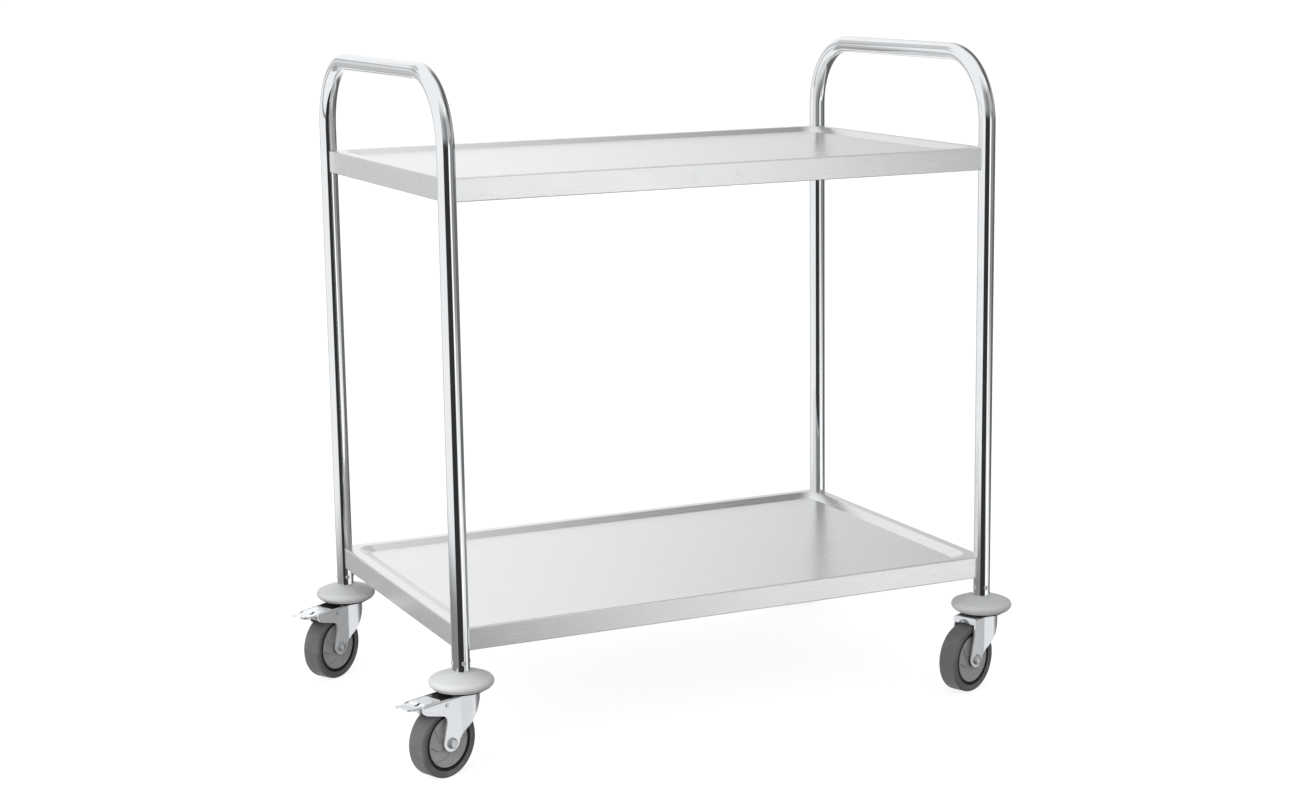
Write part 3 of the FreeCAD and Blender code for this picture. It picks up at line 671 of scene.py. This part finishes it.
# ---- rivets -------------------------------------------------------------------------
def rivet_tree():
    """Copies of one rivet on points, each turned to the point's outward direction."""
    tree = bpy.data.node_groups.new("leg_rivets", "GeometryNodeTree")
    tree_input(tree, "Points", "NodeSocketGeometry")
    tree_input(tree, "Rivet", "NodeSocketObject")
    tree_input(tree, "Scale", "NodeSocketFloat", 1.0)
    tree_input(tree, "Material", "NodeSocketMaterial")
    tree.interface.new_socket(name="Rivets", in_out="OUTPUT", socket_type="NodeSocketGeometry")
    nodes = Nodes(tree)
    start = nodes.make("NodeGroupInput").socket.node.outputs
    given = {socket.name: Value(nodes, socket) for socket in start if socket.name}
    points = nodes.make("GeometryNodeMeshToPoints", inputs={0: given["Points"]})
    rivet = nodes.make("GeometryNodeObjectInfo", inputs={0: given["Rivet"]}, output=4)
    outward = nodes.make("GeometryNodeInputNamedAttribute", {"data_type": "FLOAT_VECTOR"}, {0: "outward"})
    turned = nodes.make("FunctionNodeAlignRotationToVector", {"axis": "Z"}, {"Vector": outward})
    placed = nodes.make("GeometryNodeInstanceOnPoints", inputs={
        "Points": points, "Instance": rivet, "Rotation": turned})
    grown = nodes.make("GeometryNodeScaleInstances", inputs={"Instances": placed, "Scale": given["Scale"]})
    real = nodes.make("GeometryNodeRealizeInstances", inputs={0: grown})
    painted = nodes.make("GeometryNodeSetMaterial", inputs={
        "Geometry": real, "Material": given["Material"]})
    nodes.make("NodeGroupOutput", inputs={0: painted})
    return tree


RIVET_SIDES = 20
RIVET_STAND = 1.0 * MM      # dome above the tube
RIVET_ROOT = -4.0 * MM      # inner end of the shank
RIVET_SHANK = 2.3 * MM
RIVET_EYE = 0.45 * MM       # bore along the middle


def blind_rivet(shape):
    """One rivet about Z: flange, domed head and the sunk break of its pin."""
    head, stand = shape.rivet_radius, RIVET_STAND
    profile = [
        (RIVET_EYE, RIVET_ROOT), (RIVET_SHANK, RIVET_ROOT), (RIVET_SHANK, -0.7 * MM), (head, -0.55 * MM),
        (head, 0.25 * stand), (head * 0.92, 0.58 * stand), (head * 0.78, 0.84 * stand),
        (head * 0.60, stand), (head * 0.46, stand), (head * 0.40, 0.75 * stand),
        (head * 0.38, -0.1 * MM), (head * 0.30, -0.2 * MM), (head * 0.24, 0.25 * MM),
        (RIVET_EYE, 0.35 * MM),
    ]
    turns = [step / RIVET_SIDES for step in range(RIVET_SIDES)]
    mesh = ring_mesh("blind_rivet", turned_rings(profile, turns), closed_rings=True)
    soften(mesh)
    return mesh


class TROLLEY_OT_rivets(bpy.types.Operator):
    """Sets four blind rivets around the lower end of each leg"""
    bl_idname = "trolley.rivets"
    bl_label = "Leg Rivets"

    def execute(self, context):
        shape = context.scene.trolley_shape
        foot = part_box("left_end_frame")[0].z
        places, directions = [], []
        for corner in CORNERS:
            leg = JOINTS[corner + "_swivel_turn"]["pos_m"]
            centre = Vector((leg[0], leg[1], foot + shape.rivet_height))
            for direction in ((1, 0, 0), (0, 1, 0), (-1, 0, 0), (0, -1, 0)):
                places.append(centre + Vector(direction) * shape.tube_radius)
                directions.append(direction)
        points = bpy.data.meshes.new("rivet_places")
        points.from_pydata(places, [], [])
        outward = points.attributes.new("outward", "FLOAT_VECTOR", "POINT")
        for item, direction in zip(outward.data, directions):
            item.vector = direction
        source = scene_object("rivet_places", points)
        rivet = scene_object("blind_rivet", blind_rivet(shape))
        copies = source.modifiers.new("rivets", "NODES")
        copies.node_group = rivet_tree()
        set_inputs(copies, {"Rivet": rivet, "Scale": 1.0, "Material": MATERIALS["fastener"]})
        mesh = settled(source)
        bpy.data.objects.remove(rivet)
        soften(mesh)
        piece("leg_rivet_heads", mesh, "trolley", "fastener", "leg_rivets")
        dress("leg_plugs")
        return {"FINISHED"}


# ---- wheels -------------------------------------------------------------------------
COVER_FACE = 12.2 * MM      # rim of a dust cover from the wheel's middle
COVER_RADIUS = 35.1 * MM
COVER_EYE = 11.5 * MM       # hole around the axle
COVER_SHEET = 1.4 * MM
COVER_DISH_STEPS = 12
GROOVE = 0.03               # width of the groove beside a petal, as a share of the petal


def cover_profile():
    """Closed section of a dust cover as (radius, height), the outer face first."""
    face, outer, eye, sheet = COVER_FACE, COVER_RADIUS, COVER_EYE, COVER_SHEET
    rim, waist, collar = outer - 1.6 * MM, outer - 14 * MM, eye + 3 * MM
    front = [(outer, face - 2.0 * MM), (outer, face + 0.45 * MM), (outer - 0.3 * MM, face + 0.75 * MM),
             (rim, face + 0.75 * MM), (rim - 0.3 * MM, face + 0.35 * MM)]
    for step in range(1, COVER_DISH_STEPS):
        part = step / COVER_DISH_STEPS
        radius = rim - 0.3 * MM + (collar - rim + 0.3 * MM) * part
        dish = 0.35 * MM - 0.75 * MM * sin(pi * part) + 0.75 * MM * part
        front.append((radius, face + dish))
    front += [(collar, face + 1.1 * MM), (collar - 0.4 * MM, face + 1.45 * MM), (eye, face + 1.35 * MM)]
    back = [(eye, face + 1.35 * MM - sheet), (waist, face - 0.4 * MM - sheet),
            (outer - 1.5 * MM, face - sheet), (outer - 1.5 * MM, face - 2.0 * MM)]
    return front + back, (5, 5 + COVER_DISH_STEPS - 1)


def dust_cover(shape):
    """One dished cover about Z, its face pressed into curved overlapping petals."""
    profile, (first, last) = cover_profile()
    places = [0.0, GROOVE] + [step / 8 for step in range(1, 8)] + [1 - 1.6 * GROOVE, 1 - GROOVE]
    turns = [(petal + place) / shape.petals for petal in range(shape.petals) for place in places]

    def twist(radius):
        return shape.petal_turn * ((COVER_RADIUS - radius) / (COVER_RADIUS - COVER_EYE)) ** 1.5

    def lift(number, step):
        if not first <= number < last:
            return 0
        fade = sin(pi * (number - first + 1) / (last - first + 1)) ** 0.4
        place = places[step % len(places)]
        if place in (0.0, 1 - GROOVE):
            return -0.6 * shape.petal_step * fade
        return shape.petal_step * place ** 1.6 * fade

    return turned_rings(profile, turns, twist, lift)


def joined_rings(name, groups):
    """One mesh from several closed ring shapes."""
    joined = bmesh.new()
    for number, rings in enumerate(groups):
        part = ring_mesh(name + str(number), rings, closed_rings=True)
        joined.from_mesh(part)
        bpy.data.meshes.remove(part)
    bmesh.ops.recalc_face_normals(joined, faces=joined.faces)
    return plain_mesh(name, joined)


class TROLLEY_OT_wheels(bpy.types.Operator):
    """Makes the wheels' dust covers and gives tyres and wheel bodies their finish"""
    bl_idname = "trolley.wheels"
    bl_label = "Wheels"

    def execute(self, context):
        shape = context.scene.trolley_shape
        for corner in CORNERS:
            axle = JOINTS[corner + "_wheel_spin"]
            groups = []
            for side in (1, -1):
                placed = along_axis(axle["pos_m"], side * Vector(axle["axis"]))
                groups.append([[placed @ point for point in ring] for ring in dust_cover(shape)])
            mesh = joined_rings(corner + "_wheel_covers", groups)
            soften(mesh)
            piece(corner + "_wheel_covers", mesh, corner + "_wheel", "cover",
                  corner + "_dust_covers")
        dress("_wheel_body", "_tyre", "_axle_bolt", "_axle_nut", "_axle_sleeve")
        return {"FINISHED"}


# ---- swivels ------------------------------------------------------------------------
class TROLLEY_OT_swivels(bpy.types.Operator):
    """Gives bumpers, forks, race cups, balls and stems their finish"""
    bl_idname = "trolley.swivels"
    bl_label = "Bumpers and Swivels"

    def execute(self, context):
        dress("_bumper", "_caster_stem", "_race_cup", "_swivel_balls", "_fork")
        return {"FINISHED"}


# ---- brakes -------------------------------------------------------------------------
# Millimetres from the caster's stem: x backwards to the pedal's tip, y across and z up from the leg's end.
PLATE_START = 54
PEDAL_TIP = 113
PEDAL_STATIONS = (41, 44, 49, PLATE_START, 56, 58, 62, 66, 72, 80, 83.6, 84.4, 86, 86.8, 91.2, 94, 98,
                  101, 104, 106, 108, 110, 111.5, 112.5, PEDAL_TIP)
PEDAL_TOP = ((41, -30.5), (54, -25.3), (83.6, -25.3), (86, -26.7), (98, -26.7), (PEDAL_TIP, -24.4))
PEDAL_FOOT = ((41, -36.5), (46, -38.1), (70, -38.2), (86, -36.5), (101, -30), (PEDAL_TIP, -26.9))
PEDAL_HALF_WIDTH = 15.8
PEDAL_CORNER = 9.0
PEDAL_BEND = 2.2
PEDAL_SHEET = 1.6
# Black leaf of painted shade in the fork's mouth: it fills the shaded gap between the race cup and the
# pedal's plate.
MOUTH_SHADE_LEAF = ((28, 17), (40.3, 17), (40.3, 13.6), (54, 13.6))
MOUTH_SHADE_HEIGHT = -27
MOUTH_SHADE_FALL = 0.06
# Black leaf of painted shade under the pedal's plate, seen dark through its slot and notch.
PEDAL_SHADE_LEAF = ((57, 12.6), (96, 12.6))
PEDAL_SHADE_HEIGHT = -28.4
LEAF_SHEET = 1.2
LEAF_EDGE = 0.4


def between(value, points):
    """Height on a line of (x, z) points."""
    for (x0, z0), (x1, z1) in zip(points, points[1:]):
        if value <= x1:
            return z0 + (z1 - z0) * (value - x0) / (x1 - x0)
    return points[-1][1]


def pedal_section(x):
    """Points across the pedal at one station, from one cheek's edge over to the other's."""
    half, corner = PEDAL_HALF_WIDTH, PEDAL_CORNER
    if x > PEDAL_TIP - corner:
        half = half - corner + sqrt(max(corner ** 2 - (x - PEDAL_TIP + corner) ** 2, 0.0))
    top = between(x, PEDAL_TOP)
    foot = between(x, PEDAL_FOOT)
    bend = min(PEDAL_BEND, (top - foot) * 0.6)
    side = [(half, foot), (half, (foot + top - bend) / 2), (half, top - bend)]
    for step in range(1, 5):
        turn = step / 4 * pi / 2
        side.append((half - bend * (1 - cos(turn)), top - bend * (1 - sin(turn))))
    inner = half - bend
    top_places = [inner * part for part in (0.92, 0.72, 0.45, 0.15)]
    across = side + [(y, top) for y in top_places]
    mirrored = [(-y, z) for y, z in reversed(across)]
    return [Vector((x * MM, y * MM, z * MM)) for y, z in across + mirrored]


def pedal_mesh(name, placed):
    """Pressed pedal: flat top with slot and notch, stepped foot lip and side cheeks."""
    mesh = bmesh.new()
    rows = [[mesh.verts.new(placed @ point) for point in pedal_section(x)] for x in PEDAL_STATIONS]
    across = len(rows[0])
    for number, (near, far) in enumerate(zip(rows, rows[1:])):
        start = PEDAL_STATIONS[number]
        for column in range(across - 1):
            opening = start < PLATE_START and 2 <= column <= across - 4
            slot = 80 <= start < 91 and column == 9
            notch = start == 62 and column == 7
            if not (opening or slot or notch):
                mesh.faces.new((near[column], far[column], far[column + 1], near[column + 1]))
    bmesh.ops.recalc_face_normals(mesh, faces=mesh.faces)
    return plain_mesh(name, mesh)


def leaf_mesh(name, placed, half, height, fall):
    """Flat leaf of painted shade, from the (x, y) points of its one half, for the fork's mouth and the
    pedal's underside.
    """
    outline = list(half) + [(x, -y) for x, y in reversed(half)]
    mesh = bmesh.new()
    points = [placed @ (Vector((x, y, height - fall * (x - half[0][0]))) * MM) for x, y in outline]
    mesh.faces.new([mesh.verts.new(point) for point in points])
    mesh.normal_update()
    if mesh.faces[:][0].normal.z < 0:
        bmesh.ops.reverse_faces(mesh, faces=mesh.faces[:])
    return plain_mesh(name, mesh)


class TROLLEY_OT_brakes(bpy.types.Operator):
    """Presses the two brake pedals and gives shoes and pins their finish"""
    bl_idname = "trolley.brakes"
    bl_label = "Brakes"

    def execute(self, context):
        for corner in BRAKED:
            stem = Vector(JOINTS[corner + "_swivel_turn"]["pos_m"])
            axle = Vector(JOINTS[corner + "_wheel_spin"]["pos_m"])
            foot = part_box("left_end_frame")[0].z
            trail = Vector((axle.x - stem.x, axle.y - stem.y, 0)).normalized()
            turn = Matrix((trail, UP.cross(trail), UP)).transposed().to_4x4()
            placed = Matrix.Translation(Vector((stem.x, stem.y, foot))) @ turn
            self.make_pedal(corner, placed)
            # Both black leaves are painted shade: one in the fork's mouth, one under the pedal's plate.
            self.make_leaf(corner, "_pedal_spring", "_swivel",
                           (placed, MOUTH_SHADE_LEAF, MOUTH_SHADE_HEIGHT, MOUTH_SHADE_FALL))
            self.make_leaf(corner, "_pedal_liner", "_pedal", (placed, PEDAL_SHADE_LEAF, PEDAL_SHADE_HEIGHT, 0.0))
        dress("_brake_shoe", "_pedal_pin")
        return {"FINISHED"}

    def make_pedal(self, corner, placed):
        skin = corner + "_pedal_skin"
        source = scene_object(skin, pedal_mesh(skin, placed))
        source.data.shade_smooth()
        thicken(source, "sheet", PEDAL_SHEET * MM)
        mesh = settled(source)
        soften(mesh)
        piece(corner + "_pedal_plate", mesh, corner + "_pedal", "zinc",
              corner + "_brake_pedal")

    def make_leaf(self, corner, ending, body, shape):
        """Black leaf of painted shade: one closes the shaded mouth before the pedal's plate, the other
        lies in the shade under the plate.
        """
        skin = corner + ending + "_skin"
        source = scene_object(skin, leaf_mesh(skin, *shape))
        thicken(source, "sheet", LEAF_SHEET * MM)
        edges = source.modifiers.new("edges", "BEVEL")
        edges.width = LEAF_EDGE * MM
        edges.segments = 2
        mesh = settled(source)
        soften(mesh)
        piece(corner + ending, mesh, corner + body, "black")


class TROLLEY_OT_fasteners(bpy.types.Operator):
    """Gives the shelf bolts and their inserts their finish"""
    bl_idname = "trolley.fasteners"
    bl_label = "Shelf Fasteners"

    def execute(self, context):
        dress("shelf_bolts", "shelf_inserts")
        return {"FINISHED"}


# ---- stage --------------------------------------------------------------------------
EYE_HEIGHT = 0.5            # height that the reflected studio's tilt is measured from
FLOOR_RADIUS = 90.0
KEY_PLACE = (-1.35, -0.75, 0.6)
KEY_AIM = (0.0, 0.0, 0.2)
KEY_SIZE = 0.8
SENSOR_WIDTH = 36.0
CLIP_END = 200.0


def surround_look(studio):
    """Bright walls with dark openings, as polished metal sees a studio.

    turn is the heading in degrees, 0 towards -Y and 90 towards +X, and tilt is the angle above
    the horizon. Each name below is one area of the walls and how much it darkens or brightens."""
    look = Finish("studio_surround")
    place = look.make("ShaderNodeTexCoord", output=3)
    parts = look.make("ShaderNodeSeparateXYZ", inputs={0: place}).socket.node.outputs
    x, y, z = (Value(look, socket) for socket in parts)
    turn = x.math("ARCTAN2", 0 - y) * degrees(1.0)
    away = (x * x + y * y).math("SQRT")
    tilt = (z - EYE_HEIGHT).math("ARCTAN2", away) * degrees(1.0)
    low = 1 - tilt.rise(-16, -12)
    upward = tilt.rise(-6, 4)
    gap_depth = 0.965 - 0.45 * tilt.rise(3, 18) - 0.515 * tilt.rise(34, 70)
    camera_gap = turn.band(-50, 11.5, 2.5).math("MAXIMUM", turn.band(8, 21, 3) * low) * gap_depth
    bend_shade = turn.band(-24, 84, 20) * (tilt.band(9, 42, 7) * 0.5 + (1 - tilt.rise(-34, -24)) * 0.4)
    near_end = turn.rise(60, 66) - low * (turn.rise(60, 66) - turn.rise(72, 84))
    far_side = turn.rise(122, 140)
    far_end = 1 - turn.rise(132, 166)
    depth = 0.86 - far_side * (0.40 * upward - 0.12 * tilt.rise(4, 16) - 0.32 * tilt.rise(24, 38))
    depth = depth - turn.band(66, 120, 4) * tilt.band(3, 22, 3) * 0.3
    side_gap = near_end * far_end * (1 - tilt.rise(46, 74)) * depth
    end_panel = turn.band(-169, -154, 4) * tilt.band(-27, 8.5, 3)
    line = (turn.band(-173, -152, 2) * tilt.band(-36, 12, 1.5) - end_panel).math("MAXIMUM", 0)
    panel_depth = (0.42 + 0.2 * low) * (1 - 0.45 * tilt.rise(-4, 2))
    top_panel = turn.band(-168, -150, 3) * tilt.band(18, 34, 2)
    streak = turn.band(-158, -144, 3) * tilt.band(12, 16, 1.5)
    right_haze = turn.band(30, 62, 4) * tilt.band(-9, 12, 3) * 0.73
    low_haze = turn.band(30, 46, 4) * (1 - tilt.rise(-18.5, -16.5)) * 0.6
    floor_side = turn.band(-150, -50, 4) * tilt.band(-21, -15, 1.5) * 0.74
    upper_glow = turn.band(12, 30, 3) * tilt.band(-10, 6, 2)
    lower_glow = turn.band(27, 40, 4) * tilt.band(-17, -12, 1.5)
    wall = (1 - camera_gap) * (1 - side_gap) * (1 - bend_shade)
    wall = wall * (1 - 0.6 * line) * (1 - 0.7 * streak)
    wall = wall * (1 - end_panel * panel_depth) * (1 - 0.35 * top_panel)
    wall = wall * (1 - right_haze) * (1 - low_haze) * (1 - floor_side)
    wall = wall * (1 + 0.3 * upper_glow + 0.5 * lower_glow)
    light = look.make("ShaderNodeEmission", inputs={
        "Color": (0.97, 0.985, 1.0, 1.0), "Strength": wall * studio.surround_level})
    look.make("ShaderNodeOutputMaterial", inputs={"Surface": light})
    look.material.cycles.emission_sampling = "NONE"
    return look.material


def floor_look():
    """Pale studio floor that glows a little, so that shadows stay light."""
    look = Finish("studio_floor")
    return look.shade((0.30, 0.30, 0.30, 1.0), 0.9, specular=0.0,
                      glow=(1.0, 1.0, 1.0, 1.0), glow_strength=0.82)


def hide_from(thing, *rays):
    """Makes a thing invisible to these kinds of rays."""
    for kind in rays:
        setattr(thing, "visible_" + kind, False)


class TROLLEY_OT_stage(bpy.types.Operator):
    """Sets up the floor, the reflected studio, the soft light and the camera"""
    bl_idname = "trolley.stage"
    bl_label = "Stage"

    def execute(self, context):
        scene = context.scene
        studio = scene.trolley_studio
        self.make_floor()
        self.make_surround(studio)
        self.make_light(scene, studio)
        self.make_camera(scene, studio)
        scene.view_settings.view_transform = "Standard"
        return {"FINISHED"}

    def make_floor(self):
        mesh = bmesh.new()
        bmesh.ops.create_circle(mesh, cap_ends=True, segments=64, radius=FLOOR_RADIUS)
        disc = plain_mesh("studio_floor", mesh)
        disc.materials.append(floor_look())
        floor = scene_object("studio_floor", disc)
        hide_from(floor, "glossy", "diffuse")

    def make_surround(self, studio):
        mesh = bmesh.new()
        bmesh.ops.create_uvsphere(mesh, u_segments=96, v_segments=48, radius=studio.surround_radius)
        bmesh.ops.reverse_faces(mesh, faces=mesh.faces)
        ball = plain_mesh("studio_surround", mesh)
        ball.materials.append(surround_look(studio))
        surround = scene_object("studio_surround", ball)
        hide_from(surround, "camera", "diffuse", "transmission", "shadow")

    def make_light(self, scene, studio):
        world = bpy.data.worlds.new("studio_light")
        world.use_nodes = True
        nodes = Nodes(world.node_tree)
        ways = nodes.make("ShaderNodeTexCoord")
        height = nodes.make("ShaderNodeSeparateXYZ", inputs={0: ways}, output=2)
        fall = 0.35 + 0.65 * height.rise(-0.6, 0.3)
        even = nodes.make("ShaderNodeBackground", inputs={
            "Color": (1.0, 1.0, 1.0, 1.0), "Strength": fall * studio.ambient})
        nodes.make("ShaderNodeOutputWorld", inputs={"Surface": even})
        scene.world = world
        key = bpy.data.lights.new("key_light", "AREA")
        key.energy = studio.key_power
        key.size = KEY_SIZE
        lamp = bpy.data.objects.new("key_light", key)
        scene.collection.objects.link(lamp)
        lamp.location = KEY_PLACE
        aim = Vector(KEY_AIM) - lamp.location
        lamp.rotation_euler = aim.to_track_quat("-Z", "Y").to_euler()
        hide_from(lamp, "glossy", "camera")

    def make_camera(self, scene, studio):
        turn, drop, roll = studio.camera_turn, studio.camera_drop, studio.camera_roll
        ahead = Vector((sin(turn) * cos(drop), cos(turn) * cos(drop), -sin(drop)))
        right = Vector((cos(turn), -sin(turn), 0))
        down = ahead.cross(right)
        image_right = right * cos(roll) + down * sin(roll)
        image_down = down * cos(roll) - right * sin(roll)
        axes = Matrix((image_right, -image_down, -ahead)).transposed().to_4x4()
        lens = bpy.data.cameras.new("camera")
        lens.sensor_width = SENSOR_WIDTH
        lens.lens = studio.lens
        lens.clip_end = CLIP_END
        camera = bpy.data.objects.new("camera", lens)
        scene.collection.objects.link(camera)
        camera.matrix_world = Matrix.Translation(Vector(studio.camera_place)) @ axes
        scene.camera = camera


# ---- add-on -------------------------------------------------------------------------
PIECE_OPERATORS = (
    TROLLEY_OT_end_frames,
    TROLLEY_OT_shelves,
    TROLLEY_OT_rivets,
    TROLLEY_OT_fasteners,
    TROLLEY_OT_swivels,
    TROLLEY_OT_wheels,
    TROLLEY_OT_brakes,
    TROLLEY_OT_stage,
)


class TROLLEY_PT_panel(bpy.types.Panel):
    """Lists the trolley's pieces and sizes"""
    bl_idname = "TROLLEY_PT_panel"
    bl_label = "Serving Trolley"
    bl_space_type = "VIEW_3D"
    bl_region_type = "UI"
    bl_category = "Trolley"

    def draw(self, context):
        for operator in PIECE_OPERATORS:
            self.layout.operator(operator.bl_idname)
        for group in (context.scene.trolley_shape, context.scene.trolley_finish,
                      context.scene.trolley_studio):
            box = self.layout.box()
            for name in group.__annotations__:
                box.prop(group, name)


PROPERTY_GROUPS = {
    "trolley_shape": TrolleyShape,
    "trolley_finish": TrolleyFinish,
    "trolley_studio": TrolleyStudio,
}


def register():
    for name, group in PROPERTY_GROUPS.items():
        bpy.utils.register_class(group)
        setattr(bpy.types.Scene, name, PointerProperty(type=group))
    for made in PIECE_OPERATORS + (TROLLEY_PT_panel,):
        bpy.utils.register_class(made)


def unregister():
    for made in reversed(PIECE_OPERATORS + (TROLLEY_PT_panel,)):
        bpy.utils.unregister_class(made)
    for name, group in PROPERTY_GROUPS.items():
        delattr(bpy.types.Scene, name)
        bpy.utils.unregister_class(group)


def main():
    register()
    MATERIALS.update(make_materials(bpy.context.scene.trolley_finish))
    bpy.ops.trolley.end_frames()
    bpy.ops.trolley.shelves()
    bpy.ops.trolley.rivets()
    bpy.ops.trolley.fasteners()
    bpy.ops.trolley.swivels()
    bpy.ops.trolley.wheels()
    bpy.ops.trolley.brakes()
    bpy.ops.trolley.stage()


if __name__ == "__main__":
    main()
